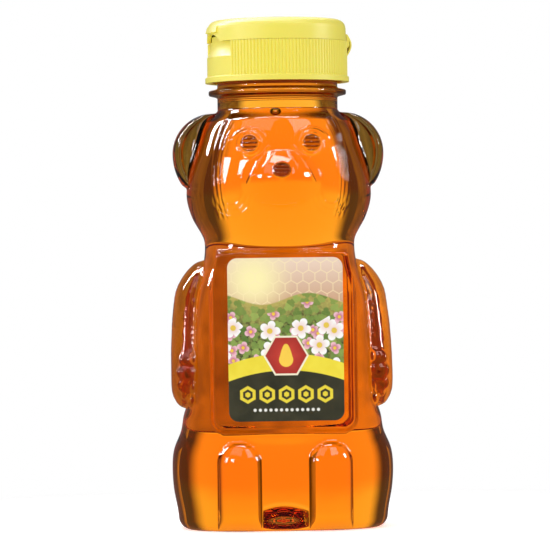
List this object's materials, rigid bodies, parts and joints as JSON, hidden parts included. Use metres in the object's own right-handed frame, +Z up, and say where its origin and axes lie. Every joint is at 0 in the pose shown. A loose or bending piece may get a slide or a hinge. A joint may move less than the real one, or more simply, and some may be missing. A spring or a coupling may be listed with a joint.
{
  "type": "honey bottle",
  "caption": "Bear-shaped clear squeeze bottle filled with honey, flat belly label, threaded neck with support ring, ribbed screw cap with flip-top pouring lid",
  "frame": {"origin": "On the table, under the middle of the bottle's base", "axes": "+Z up along the neck, -Y the side with the face and the label, +X the bear's left-hand side, to the viewer's right"},
  "size_m": [0.064, 0.0527, 0.1474],
  "materials": {
    "clear_bottle": "clear, glossy",
    "honey": "clear amber liquid",
    "label_film": "printed satin film",
    "seal_foam": "foam with foil",
    "cap_plastic": "satin, soft yellow"
  },
  "bodies": {
    "bottle": {"bottle": "clear_bottle", "honey": "honey", "front_label": "label_film"},
    "seal": {"inner_seal": "seal_foam"},
    "cap": {"cap_base": "cap_plastic", "hinge_strap": "cap_plastic", "hinge_films": "cap_plastic"},
    "lid": {"cap_lid": "cap_plastic"}
  },
  "joints": [
    {"name": "cap_lift", "type": "slide", "parent": "bottle", "child": "seal", "axis": [0, 0, 1], "range_m": [0, 0.02115]},
    {"name": "cap_turn", "type": "hinge", "parent": "seal", "child": "cap", "pos_m": [0, 0, 0.1387], "axis": [0, 0, 1], "range_deg": [0, 1801]},
    {"name": "lid_hinge", "type": "hinge", "parent": "cap", "child": "lid", "pos_m": [0.01994, 0.0061, 0.1403], "axis": [-0.2924, 0.9563, 0], "range_deg": [0, 150], "deforming": ["hinge_strap", "hinge_films"]}
  ],
  "couplings": [
    {"joint": "cap_turn", "follows": "cap_lift", "rad_per_m": 1485.4}
  ]
}
